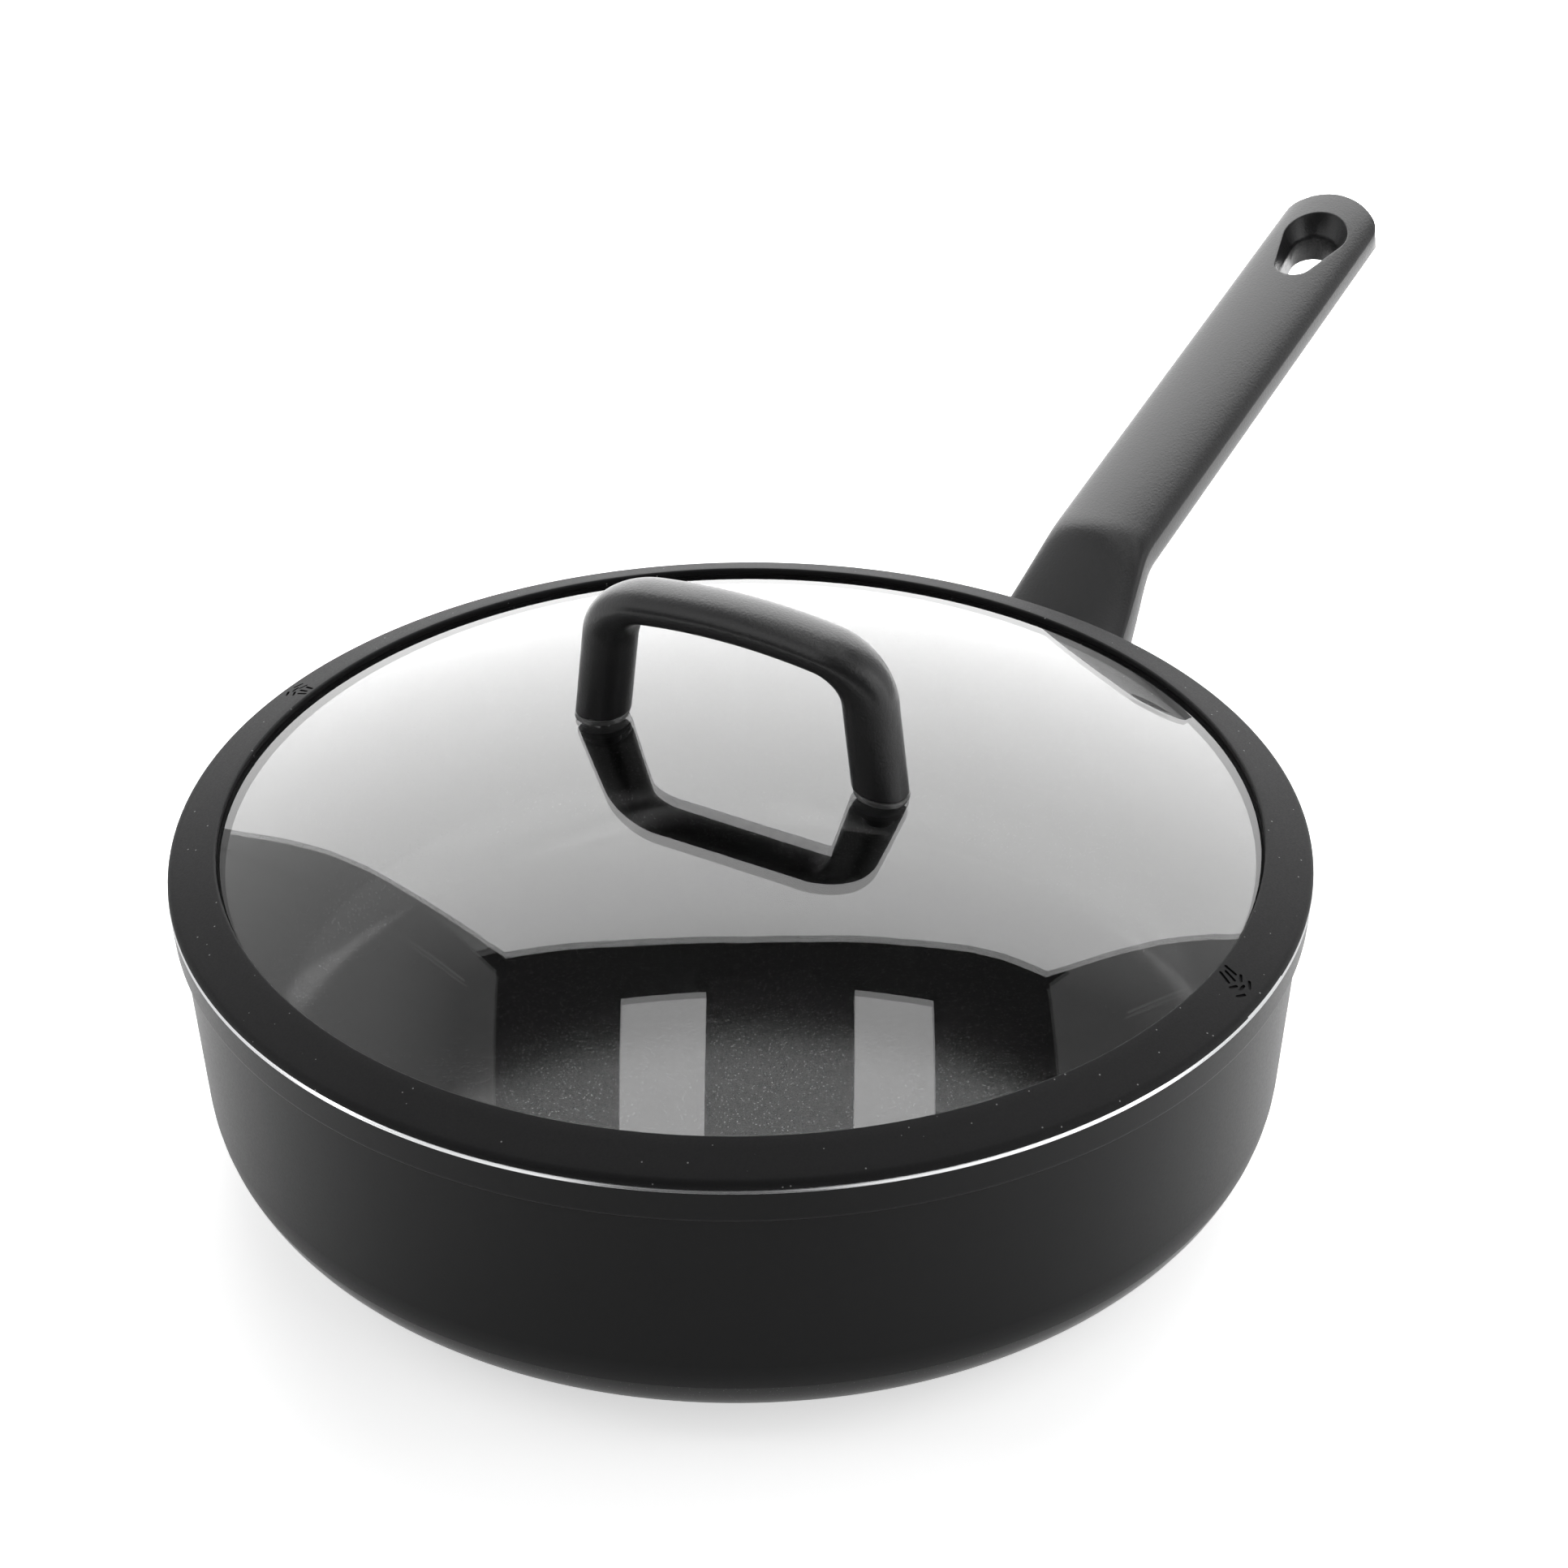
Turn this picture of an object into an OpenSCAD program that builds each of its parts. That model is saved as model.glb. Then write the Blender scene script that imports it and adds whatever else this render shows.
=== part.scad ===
// Saute pan with a stay-cool handle and a glass lid in a silicone rim.
// Millimetres. The origin is the centre of the base's underside, +Z is up and the
// long handle points along +X.

/* [Pan body] */
// Outer radius of the rim
rim_r = 143.5; // [120:0.5:170]
// Height of the pan, from the base's underside to the top of the rim
pan_h = 80; // [60:1:110]
// Thickness of the rim, from the mouth to the outer edge
rim_t = 3.5; // [2.5:0.1:5]
// Thickness of the wall
wall_t = 3; // [2:0.1:4]
// Thickness of the floor
floor_t = 5; // [3:0.1:8]
// Lean of the wall, in degrees
draft = 4; // [1:0.5:8]
// Radius of the outer corner between the wall and the base
corner_r = 26; // [12:0.5:34]
// Height of the thicker band under the rim
band_h = 10; // [6:0.5:16]
// How far the wall steps in under the band
band_step = 1.7; // [0.8:0.1:3]
// Bright bevel on the rim's outer edge
rim_bevel = 0.7; // [0.3:0.1:1.2]
// Rounding of the mouth's pouring edge
pour_r = 1.2; // [0.5:0.1:1.6]
// Height over which the wall flares out to the mouth
flare_h = 5; // [3:0.1:8]

/* [Induction plate] */
// Width of the bare base round the steel plate
plate_margin = 12; // [8:0.5:30]
// Thickness of the steel plate
plate_t = 1; // [0.6:0.1:1.5]
// Width of the ring grooves pressed into the plate
groove_w = 2; // [1:0.1:4]
// Depth of the ring grooves
groove_d = 0.4; // [0.2:0.05:0.5]
// Number of ring grooves
groove_count = 5; // [2:1:8]

/* [Long handle] */
// Length of the root, from the wall to the bend
root_l = 51.6; // [44:0.1:80]
// Height of the handle's edge line at the bend
bend_z = 77.6; // [70:0.1:95]
// Length of the edge line from the bend to the tip
grip_l = 159.3; // [120:0.5:200]
// Rise of the grip, in degrees
grip_rise = 16.6; // [5:0.1:25]
// Width of the grip
grip_w = 30.8; // [24:0.1:38]
// Height of the crowned top above the edge line
crown_h = 4.5; // [2:0.1:6]
// Height of the upright side face of the grip
side_h = 3.5; // [1.5:0.1:6]
// Depth of the rounded underside at the bend
belly_h = 8.6; // [6:0.1:12]
// Depth of the rounded underside at the tip
tip_belly_h = 4.6; // [4:0.1:9]
// Radius of the arc across the tip, in plan
tip_r = 23; // [18:0.5:40]
// Drop of the edge line from the bend to the pan
root_drop = 28.5; // [20:0.5:34]
// Width of the root where it meets the pan
root_w = 43.5; // [34:0.5:50]
// Height of the side face where the root meets the pan
root_side_h = 12; // [8:0.5:14]
// Depth of the rounded underside where the root meets the pan
root_belly_h = 12; // [8:0.5:14]
// Height of the crown where the root meets the pan
root_crown_h = 2; // [1:0.1:4]

/* [Hanging hole] */
// Distance from the tip to the centre of the hole's wide end
hole_back = 17; // [16:0.1:30]
// Radius of the wide end, at the top
hole_r = 9.7; // [7:0.1:10.5]
// Radius of the narrow end, at the top
hole_small_r = 5.8; // [3:0.1:7]
// Distance between the centres of the two ends
hole_l = 14.5; // [8:0.5:20]
// How much the hole narrows to its neck, on the radius
hole_neck = 2.8; // [1:0.1:3]
// How far the neck lies from the middle of the top outline, towards the pan
hole_shift = 2; // [0:0.1:3]
// Depth of the neck under the edge line
neck_z = 1; // [0:0.1:3]

/* [Handle fixing] */
// Height of the middle of the boss on the wall
boss_z = 38; // [34:0.5:44]
// Length of the boss, out from the wall
boss_l = 13; // [10:0.5:16]
// Width of the boss
boss_w = 20; // [16:0.5:26]
// Height of the boss
boss_h = 15; // [12:0.5:16]
// Tilt of the handle screw, in degrees
screw_tilt = 25; // [20:1:28]
// Diameter of the handle screw
screw_d = 5; // [4:0.5:6]
// Length from the middle of the boss to the seat of the screw's head
screw_reach = 31; // [28:0.5:33]
// Diameter of the handle screw's head
head_d = 8.5; // [7.5:0.1:10]
// Height of the handle screw's head
head_h = 3.6; // [3:0.1:5]
// Thickness of the washer under the head
washer_t = 1; // [0.6:0.1:1.5]

/* [Lid glass] */
// Distance from the edge of the glass to the outer edge of the pan's rim
glass_inset = 8; // [6.5:0.1:10]
// Thickness of the glass
glass_t = 4; // [3:0.1:5]
// Height of the dome, from the edge of the rim's lip to the top
dome_h = 23.4; // [15:0.1:35]
// Height of the glass above the pan's rim at the lip
glass_lift = 4.6; // [2:0.1:5.3]

/* [Silicone rim] */
// How far the rim's lip reaches over the glass
lip_cover = 4.4; // [3:0.1:6]
// How far the rim reaches under the glass
under_cover = 5; // [3:0.1:7]
// Thickness of the part under the glass
under_t = 1.8; // [1:0.1:2.5]
// Height of the lip's crest above the pan's rim
crest_h = 6.2; // [5.9:0.1:8]
// Rounding of the crest
crest_round = 0.5; // [0.3:0.1:0.8]
// Rounding of the shoulder, from the top to the outer side
shoulder_r = 2.2; // [1.5:0.1:2.6]
// Depth of the skirt that hangs in the pan's mouth
skirt_h = 7.5; // [6:0.1:10]
// Thickness of the skirt
skirt_t = 2.6; // [2:0.1:3.2]
// How far the skirt draws in at its lower edge
skirt_taper = 1.6; // [0.8:0.1:2]
// Width of each drain notch in the seat
notch_w = 20; // [12:1:30]
// Height of each drain notch
notch_h = 1.1; // [0.6:0.1:1.5]
// Width of the slots of the strainer
slot_w = 1.5; // [1:0.1:2.5]
// Number of slots of each strainer
slot_count = 6; // [3:1:8]

/* [Lid handle] */
// How far the lid is turned on the pan, in degrees
lid_turn = 3; // [-180:1:180]
// Radius at which the handle's feet stand on the glass
foot_u = 39.8; // [32:0.1:48]
// Height of the middle of the grip above the top of the glass
loop_h = 37; // [30:0.5:48]
// Inward lean of the legs, in degrees
leg_lean = 7; // [2:0.5:12]
// Slope at the ends of the arched grip, in degrees
arch = 8; // [3:0.5:11]
// Bend radius of the corners, along the middle of the bar
loop_corner_r = 14; // [10:0.5:17]
// Width of a leg, across the opening
leg_w = 14; // [12:0.1:17]
// Depth of a leg at the foot
leg_d = 12.8; // [11:0.1:16]
// Thickness of the grip
bar_t = 9.4; // [8:0.1:12]
// Depth of the grip
bar_d = 16.5; // [12:0.1:19]

/* [Lid fixings] */
// Thickness of the clear gasket under a foot
gasket_t = 1.8; // [1:0.1:2.5]
// Diameter of the hole in the glass
glass_hole_d = 7; // [6:0.1:8]
// Outer diameter of the threaded insert
insert_d = 7; // [6:0.1:8]
// Length of the threaded insert
insert_l = 10; // [7:0.5:12]
// Diameter of the lid screw
lid_screw_d = 4; // [3:0.5:4.5]
// Diameter of the lid screw's head
lid_head_d = 8; // [7:0.1:9]
// Height of the lid screw's head
lid_head_h = 2.6; // [2:0.1:3.5]
// Outer diameter of the steel washer
lid_washer_d = 12; // [10:0.5:14]
// Thickness of the steel washer
lid_washer_t = 1; // [0.6:0.1:1.5]
// Outer diameter of the seal under the glass
seal_d = 14; // [12:0.5:16]
// Thickness of the seal under the glass
seal_t = 1.2; // [0.8:0.1:2]

/* [Hidden] */
$fn = 96;

// Clearances between pieces, and the overrun of every cut
fit = 0.1;
body_gap = 0.3;
seat_gap = 0.2;
over = 1;

// Facets of the swept and lofted pieces
arc_steps = 10;
ring_points = 28;
root_steps = 8;
grip_steps = 6;
tip_steps = 9;
leg_steps = 3;
corner_steps = 7;
arch_steps = 6;

// Wall: a cone that leans by the draft, above a round corner
function wall_r(z) = rim_r - band_step - (pan_h - z) * tan(draft);
function inner_r(z) = wall_r(z) - wall_t / cos(draft);
in_corner_r = corner_r - wall_t;
foot_z = corner_r * (1 - sin(draft));
in_foot_z = floor_t + in_corner_r * (1 - sin(draft));
base_r = wall_r(foot_z) - corner_r * cos(draft);
in_base_r = inner_r(in_foot_z) - in_corner_r * cos(draft);
plate_r = base_r - plate_margin;
mouth_r = rim_r - rim_t;
band_z = pan_h - band_h;
band_low_r = rim_r - band_h * tan(draft);

// Dome: top and underside are parts of two spheres with one centre
glass_r = rim_r - glass_inset;
lip_r = glass_r - lip_cover;
seat_z = pan_h + seat_gap;
lip_z = pan_h + glass_lift;
dome_r = (pow(lip_r, 2) + pow(dome_h, 2)) / (2 * dome_h);
dome_cz = lip_z + dome_h - dome_r;
function sphere_z(r, radius) = dome_cz + sqrt(pow(radius, 2) - pow(r, 2));
foot_tilt = asin(foot_u / dome_r);
glass_top_z = dome_cz + dome_r;

// Long handle: how far a station lies from the bend towards the pan, from 0 to 1
root_x = wall_r(boss_z);
bend_x = root_x + root_l;
tip_x = bend_x + grip_l * cos(grip_rise);
function root_part(x) = min(1, max(0, (bend_x - x) / (bend_x - root_x)));
function ease(x) = sin(90 * root_part(x));
function grip_part(x) = min(1, max(0, (x - bend_x) / (tip_x - bend_x)));
function tip_part(x) = min(1, max(0, 1 - (tip_x - x) / (2 * tip_len)));
function edge_z(x) = bend_z + max(0, x - bend_x) * tan(grip_rise) - root_drop * ease(x);
function lean(x) = grip_rise * (1 - root_part(x)) * (1 - pow(tip_part(x), 2));
function mix(a, b, t) = a + (b - a) * t;
function side_at(x) = mix(side_h, root_side_h, ease(x));
function crown_at(x) = mix(crown_h, root_crown_h, ease(x));
function belly_at(x) =
    x < bend_x ? mix(belly_h, root_belly_h, ease(x)) : mix(belly_h, tip_belly_h, grip_part(x));

// Half width: the straight sides meet the arc across the tip in a soft corner
corner_power = 12;
tip_end_a = 81;
tip_len = tip_r - sqrt(pow(tip_r, 2) - pow(grip_w / 2, 2));
function tip_arc(x) = let (d = tip_x - x) sqrt(d * max(0, 2 * tip_r - d));
function soft_min(a, b) = a / pow(1 + pow(a / b, corner_power), 1 / corner_power);
function full_w(x) = mix(grip_w, root_w, ease(x)) / 2;
function half_w(x) = tip_x - x > tip_r ? full_w(x) : soft_min(full_w(x), tip_arc(x));

// Lid handle: a round corner between a straight leg and an arched grip
foot_top_z = sphere_z(foot_u, dome_r);
loop_top_z = glass_top_z + loop_h;
arch_r =
    (foot_u + loop_corner_r * (sin(arch) - cos(leg_lean))
     - (loop_top_z - loop_corner_r * (cos(arch) - sin(leg_lean)) - foot_top_z) * tan(leg_lean))
    / (sin(arch) - (1 - cos(arch)) * tan(leg_lean));
corner_u = (arch_r - loop_corner_r) * sin(arch);
corner_z = loop_top_z - arch_r + (arch_r - loop_corner_r) * cos(arch);
leg_top = [corner_u + loop_corner_r * cos(leg_lean), corner_z + loop_corner_r * sin(leg_lean)];
leg_l = (leg_top[1] - foot_top_z) / cos(leg_lean) + leg_w * sin(leg_lean + foot_tilt);

// Stack of pieces on the axis of a foot, measured from the top of the glass
insert_z = gasket_t + 2 * fit;
seal_z = -glass_t - fit - seal_t;
washer_z = seal_z - lid_washer_t;
screw_top_z = insert_z + insert_l - lid_screw_d / 2;

// Points on a circle from angle a to angle b
function arc(c, r, a, b, n = arc_steps) =
    [for (i = [0:n]) let (t = mix(a, b, i / n)) [c[0] + r * cos(t), c[1] + r * sin(t)]];

// Point on a rounded oval with the given width and depth
round_power = 2.5;
function soft(v) = sign(v) * pow(abs(v), 2 / round_power);
function oval(w, d, n) =
    [for (i = [0:n - 1]) let (t = 360 * i / n) [w / 2 * soft(cos(t)), d / 2 * soft(sin(t))]];

// Outline of two circles joined by their tangents, the small one towards -X
function teardrop(r, small, length, n = arc_steps) =
    let (t = acos((r - small) / length))
    concat(arc([0, 0], r, -180 + t, 180 - t, 2 * n), arc([-length, 0], small, 180 - t, 180 + t, n));

// Solid through a row of rings with as many points each, clockwise as seen from the last one
module loft(rings) {
    n = len(rings[0]);
    last = len(rings) - 1;
    polyhedron(
        points = [for (ring = rings) each ring],
        faces = concat(
            [[for (i = [n - 1:-1:0]) i]],
            [[for (i = [0:n - 1]) last * n + i]],
            [for (j = [0:last - 1], i = [0:n - 1]) let (k = (i + 1) % n)
                each [[j * n + i, (j + 1) * n + k, (j + 1) * n + i],
                      [j * n + i, j * n + k, (j + 1) * n + k]]]
        )
    );
}

// Pan

module pan_body() {
    color("#2b2b2b")
        rotate_extrude()
            polygon(concat(
                [[0, plate_t], [plate_r + fit, plate_t], [plate_r + fit, 0]],
                arc([base_r, corner_r], corner_r, -90, -draft),
                [[wall_r(band_z), band_z],
                 [band_low_r, band_z + band_step / 2],
                 [rim_r, pan_h - rim_bevel],
                 [rim_r - rim_bevel, pan_h]],
                arc([mouth_r + pour_r, pan_h - pour_r], pour_r, 90, 180, 4),
                [[inner_r(pan_h - flare_h), pan_h - flare_h]],
                arc([in_base_r, floor_t + in_corner_r], in_corner_r, -draft, -90),
                [[0, floor_t]]
            ));
}

// Steel disc set flush into the base, with ring grooves
module induction_plate() {
    pitch = plate_r / (groove_count + 1);
    color("#8f9194")
        rotate_extrude()
            polygon(concat(
                [[0, plate_t - fit], [0, 0]],
                [for (i = [1:groove_count]) each
                    [[i * pitch - groove_w / 2, 0],
                     [i * pitch - groove_w / 2 + groove_d, groove_d],
                     [i * pitch + groove_w / 2 - groove_d, groove_d],
                     [i * pitch + groove_w / 2, 0]]],
                [[plate_r, 0], [plate_r, plate_t - fit]]
            ));
}

// The space that the pan's wall fills, with a gap round it
module wall_space(gap) {
    translate([0, 0, -over])
        cylinder(r1 = wall_r(-over) + gap, r2 = wall_r(pan_h) + gap, h = pan_h + over);
}

// Frame on the axis of the handle screw, with +Z towards the screw's head
module on_screw() {
    translate([root_x + boss_l / 2, 0, boss_z])
        rotate([0, 90 - screw_tilt, 0])
            children();
}

module boss_block(gap) {
    translate([root_x - boss_l / 2, -boss_w / 2 - gap, boss_z - boss_h / 2 - gap])
        cube([boss_l * 3 / 2 + gap, boss_w + 2 * gap, boss_h + 2 * gap]);
}

// Aluminium block welded to the wall, threaded for the handle screw
module handle_boss() {
    color("#a9abad")
        difference() {
            boss_block(0);
            wall_space(fit);
            on_screw()
                translate([0, 0, -boss_l / 2])
                    cylinder(d = screw_d, h = 2 * boss_l);
        }
}

// One ring of the long handle: a round crown, upright sides and a full belly, all cut off by
// the tip's outline
function handle_ring(x) =
    let (a = lean(x))
    [for (i = [0:ring_points - 1])
        let (t = 360 * (i + 1 / 2) / ring_points,
             y = -half_w(x) * (sin(t) > 0 ? cos(t) : soft(cos(t))),
             up = sin(t) > 0 ? crown_at(x) * bulge(y / full_w(x), 2)
                             : -side_at(x) - belly_at(x) * bulge(y / full_w(x), round_power))
        [x - up * sin(a), y, edge_z(x) + up * cos(a)]];
function bulge(v, power) = pow(1 - pow(abs(v), power), 1 / power);

function handle_stations() = concat(
    [for (i = [0:root_steps - 1]) mix(root_x - boss_l / 2, bend_x, i / root_steps)],
    [for (i = [0:grip_steps - 1]) mix(bend_x, tip_x - 2 * tip_len, i / grip_steps)],
    [for (i = [0:tip_steps]) tip_x - 2 * tip_len * (1 - sin(tip_end_a * i / tip_steps))]
);

// Frame on the edge line of the grip, with +X along the handle
module on_grip(x) {
    translate([x, 0, edge_z(x)])
        rotate([0, -grip_rise, 0])
            children();
}

// Hanging hole: narrows to a neck under the edge line and runs straight down from there
module hanging_hole() {
    low = side_h + belly_h + over;
    high = crown_h + over;
    top = teardrop(hole_r, hole_small_r, hole_l);
    neck = teardrop(hole_r - hole_neck, hole_small_r - hole_neck / 4, hole_l - hole_shift);
    slant = (low - neck_z) * tan(grip_rise);
    on_grip(tip_x - hole_back)
        loft([
            [for (p = top) [p[0], p[1], high]],
            [for (p = neck) [p[0] - hole_shift, p[1], -neck_z]],
            [for (p = neck) [p[0] - hole_shift - slant, p[1], -low]]
        ]);
}

module handle() {
    color("#333333")
        difference() {
            loft([for (x = handle_stations()) handle_ring(x)]);
            wall_space(body_gap);
            boss_block(body_gap);
            hanging_hole();
            on_screw() {
                cylinder(d = screw_d + 2 * body_gap, h = screw_reach + over);
                translate([0, 0, screw_reach])
                    cylinder(d = head_d + 4 * body_gap, h = screw_reach);
            }
        }
}

module handle_screw() {
    color("#b8babc")
        on_screw() {
            translate([0, 0, -boss_l / 4])
                cylinder(d = screw_d - 2 * fit, h = boss_l / 4 + screw_reach + washer_t + fit + over);
            translate([0, 0, screw_reach + washer_t + 2 * fit])
                cylinder(d = head_d, h = head_h);
        }
}

module handle_washer() {
    color("#c4c6c8")
        on_screw()
            translate([0, 0, screw_reach + fit])
                difference() {
                    cylinder(d = head_d + body_gap, h = washer_t);
                    translate([0, 0, -over])
                        cylinder(d = screw_d + fit, h = washer_t + 2 * over);
                }
}

// Lid

// Frame on the axis of a foot, square to the glass, with its origin on the glass
module at_foot(side) {
    rotate([0, 0, lid_turn])
        translate([0, 0, dome_cz])
            rotate([-side * foot_tilt, 0, 0])
                translate([0, 0, dome_r])
                    children();
}

module lid_glass() {
    edge_a = acos(glass_r / dome_r);
    in_edge_a = acos(glass_r / (dome_r - glass_t));
    color("#aab4b4", 0.35)
        difference() {
            rotate_extrude()
                polygon(concat(
                    arc([0, dome_cz], dome_r, edge_a, 90, 2 * arc_steps),
                    arc([0, dome_cz], dome_r - glass_t, 90, in_edge_a, 2 * arc_steps)
                ));
            for (side = [-1, 1])
                at_foot(side)
                    translate([0, 0, -glass_t - over])
                        cylinder(d = glass_hole_d, h = glass_t + 2 * over);
        }
}

// Slot for the edge of the glass, seat on the pan's rim and skirt in its mouth
module silicone_rim() {
    out_r = rim_r - fit;
    skirt_r = mouth_r - 2 * body_gap;
    skirt_z = seat_z - skirt_h;
    in_r = glass_r - under_cover;
    under_r = dome_r - glass_t;
    crest = [lip_r + crest_round, pan_h + crest_h - crest_round];
    shoulder = [out_r - shoulder_r, seat_z + fit];
    span = shoulder - crest;
    top_a = atan2(span[1], span[0]) + acos((crest_round - shoulder_r) / norm(span));
    color("#303030")
        difference() {
            rotate_extrude()
                polygon(concat(
                    [[lip_r, sphere_z(lip_r, dome_r) + fit]],
                    arc(crest, crest_round, 180, top_a, 3),
                    arc(shoulder, shoulder_r, top_a, 0, 5),
                    [[out_r, seat_z],
                     [skirt_r, seat_z],
                     [skirt_r - skirt_taper, skirt_z],
                     [skirt_r - skirt_taper - skirt_t, skirt_z],
                     [glass_r - fit, sphere_z(glass_r, under_r) - fit - under_t],
                     [in_r, sphere_z(in_r, under_r) - fit - under_t],
                     [in_r, sphere_z(in_r, under_r) - fit],
                     [glass_r + fit, sphere_z(glass_r, under_r) - fit],
                     [glass_r + fit, sphere_z(glass_r, dome_r) + fit]]
                ));
            for (side = [-1, 1])
                rotate([0, 0, lid_turn])
                    drain(side, skirt_r);
        }
}

// Notch under the rim and slots through the skirt, in line with a foot
module drain(side, skirt_r) {
    pitch = notch_w / slot_count;
    rotate([0, 0, side * 90]) {
        translate([skirt_r - skirt_t / 2, -notch_w / 2, seat_z - skirt_h / 2])
            cube([rim_t + skirt_t, notch_w, skirt_h / 2 + notch_h]);
        for (i = [0:slot_count - 1])
            translate([skirt_r - 2 * skirt_t, (i + 1 / 2) * pitch - (notch_w + slot_w) / 2,
                       seat_z - skirt_h - over])
                cube([2 * skirt_t + over, slot_w, skirt_h / 2 + over]);
    }
}

// Stations of the lid handle from a foot to the top: place, turn and how far up it is
function loop_stations() = concat(
    [for (i = [0:leg_steps - 1]) let (s = leg_l * (1 - i / leg_steps))
        [leg_top[0] + s * sin(leg_lean), leg_top[1] - s * cos(leg_lean), leg_lean, 0]],
    [for (i = [0:corner_steps]) let (a = mix(leg_lean, 90 - arch, i / corner_steps))
        [corner_u + loop_corner_r * cos(a), corner_z + loop_corner_r * sin(a), a,
         i / corner_steps]],
    [for (i = [1:arch_steps]) let (a = mix(90 - arch, 90, i / arch_steps))
        [arch_r * cos(a), loop_top_z - arch_r * (1 - sin(a)), a, 1]]
);

function loop_ring(s, mirror_u) =
    let (t = (1 - cos(180 * s[3])) / 2, w = mix(leg_w, bar_t, t), d = mix(leg_d, bar_d, t))
    [for (p = oval(w, d, ring_points))
        [p[1], mirror_u * (s[0] + p[0] * cos(s[2])), s[1] + p[0] * sin(s[2])]];

module lid_handle() {
    half = loop_stations();
    n = len(half);
    color("#333333")
        difference() {
            rotate([0, 0, lid_turn])
                loft(concat(
                    [for (i = [0:n - 1]) loop_ring(half[i], 1)],
                    [for (i = [n - 2:-1:0]) loop_ring(half[i], -1)]
                ));
            for (side = [-1, 1])
                at_foot(side) {
                    translate([-leg_w, -leg_w, -leg_w])
                        cube([2 * leg_w, 2 * leg_w, leg_w + gasket_t + fit]);
                    cylinder(d = insert_d + fit, h = insert_z + insert_l + fit);
                }
        }
}

// Clear gasket between a foot and the glass, as wide as the foot
module gasket(side) {
    color("#d8dcdc", 0.6)
        at_foot(side)
            translate([0, 0, fit])
                difference() {
                    linear_extrude(gasket_t - fit)
                        polygon(oval(leg_d, leg_w, ring_points));
                    translate([0, 0, -over])
                        cylinder(d = insert_d, h = gasket_t + 2 * over);
                }
}

// Threaded brass insert moulded into a foot
module insert(side) {
    color("#b5a06a")
        at_foot(side)
            translate([0, 0, insert_z])
                difference() {
                    cylinder(d = insert_d, h = insert_l);
                    translate([0, 0, -over])
                        cylinder(d = lid_screw_d, h = insert_l + 2 * over);
                }
}

module lid_screw(side) {
    color("#b8babc")
        at_foot(side) {
            translate([0, 0, washer_z - fit - over])
                cylinder(d = lid_screw_d - 2 * fit, h = screw_top_z - washer_z + fit + over);
            translate([0, 0, washer_z - fit - lid_head_h])
                cylinder(d = lid_head_d, h = lid_head_h);
        }
}

module lid_washer(side) {
    color("#c4c6c8")
        at_foot(side)
            translate([0, 0, washer_z])
                difference() {
                    cylinder(d = lid_washer_d, h = lid_washer_t);
                    translate([0, 0, -over])
                        cylinder(d = lid_screw_d + fit, h = lid_washer_t + 2 * over);
                }
}

// Silicone seal under the glass, with a neck that lines the hole
module lid_seal(side) {
    color("#3a3a3a")
        at_foot(side)
            translate([0, 0, seal_z])
                difference() {
                    union() {
                        cylinder(d = seal_d, h = seal_t);
                        cylinder(d = glass_hole_d - 2 * fit, h = seal_t + glass_t);
                    }
                    translate([0, 0, -over])
                        cylinder(d = lid_screw_d + fit, h = seal_t + glass_t + 2 * over);
                }
}

pan_body();
induction_plate();
handle_boss();
handle();
handle_screw();
handle_washer();
lid_glass();
silicone_rim();
lid_handle();
gasket(-1);  // left_gasket
gasket(1);  // right_gasket
insert(-1);  // left_insert
insert(1);  // right_insert
lid_screw(-1);  // left_lid_screw
lid_screw(1);  // right_lid_screw
lid_washer(-1);  // left_washer
lid_washer(1);  // right_washer
lid_seal(-1);  // left_seal
lid_seal(1);  // right_seal
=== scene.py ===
# Looks of a saute pan with a long handle and a glass lid in a silicone rim.
# Sizes are in millimetres, as in the part's source, and finished() turns each mesh to metres.
from math import acos, asin, atan2, cos, degrees, hypot, pi, radians, sin, sqrt, tan

import bmesh
import bpy
from mathutils import Matrix, Vector


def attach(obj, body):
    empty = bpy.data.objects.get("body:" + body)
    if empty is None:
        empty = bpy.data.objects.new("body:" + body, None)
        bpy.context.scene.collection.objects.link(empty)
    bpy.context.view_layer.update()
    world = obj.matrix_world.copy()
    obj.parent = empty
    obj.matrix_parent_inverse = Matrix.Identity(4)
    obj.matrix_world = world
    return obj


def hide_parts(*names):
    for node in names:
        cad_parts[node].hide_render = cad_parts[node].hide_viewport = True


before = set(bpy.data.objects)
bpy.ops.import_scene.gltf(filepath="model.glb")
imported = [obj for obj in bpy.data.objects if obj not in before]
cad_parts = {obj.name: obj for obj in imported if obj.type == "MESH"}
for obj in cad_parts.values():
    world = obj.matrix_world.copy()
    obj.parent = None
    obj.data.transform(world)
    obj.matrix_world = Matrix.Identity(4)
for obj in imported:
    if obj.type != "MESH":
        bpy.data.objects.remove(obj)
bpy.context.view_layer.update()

MM = 0.001
SEAM = 1e-4
FULL_TURN = 2 * pi
STEPS_ROUND, ROD_SIDES, DASH_SIDES = 256, 48, 24
# Points round and along each wrapped form
HANDLE_GRID, LOOP_GRID, PAD_GRID, HOLE_AROUND = (96, 260), (72, 160), (64, 8), 100

# Pan
RIM_R, PAN_H, RIM_T, WALL_T, FLOOR_T = 143.5, 80, 3.5, 3, 5
DRAFT, CORNER_R, BAND_H, BAND_STEP = radians(4), 26, 10, 1.7
RIM_BEVEL, POUR_R, FLARE_H = 0.9, 1.2, 5
PLATE_MARGIN, PLATE_T, FIT, BODY_GAP, SEAT_GAP = 12, 1, 0.1, 0.3, 0.2
BAND_FOOT_ROUND, BAND_EDGE_ROUND, INSIDE_MARGIN = 0.3, 0.6, 2

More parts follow.
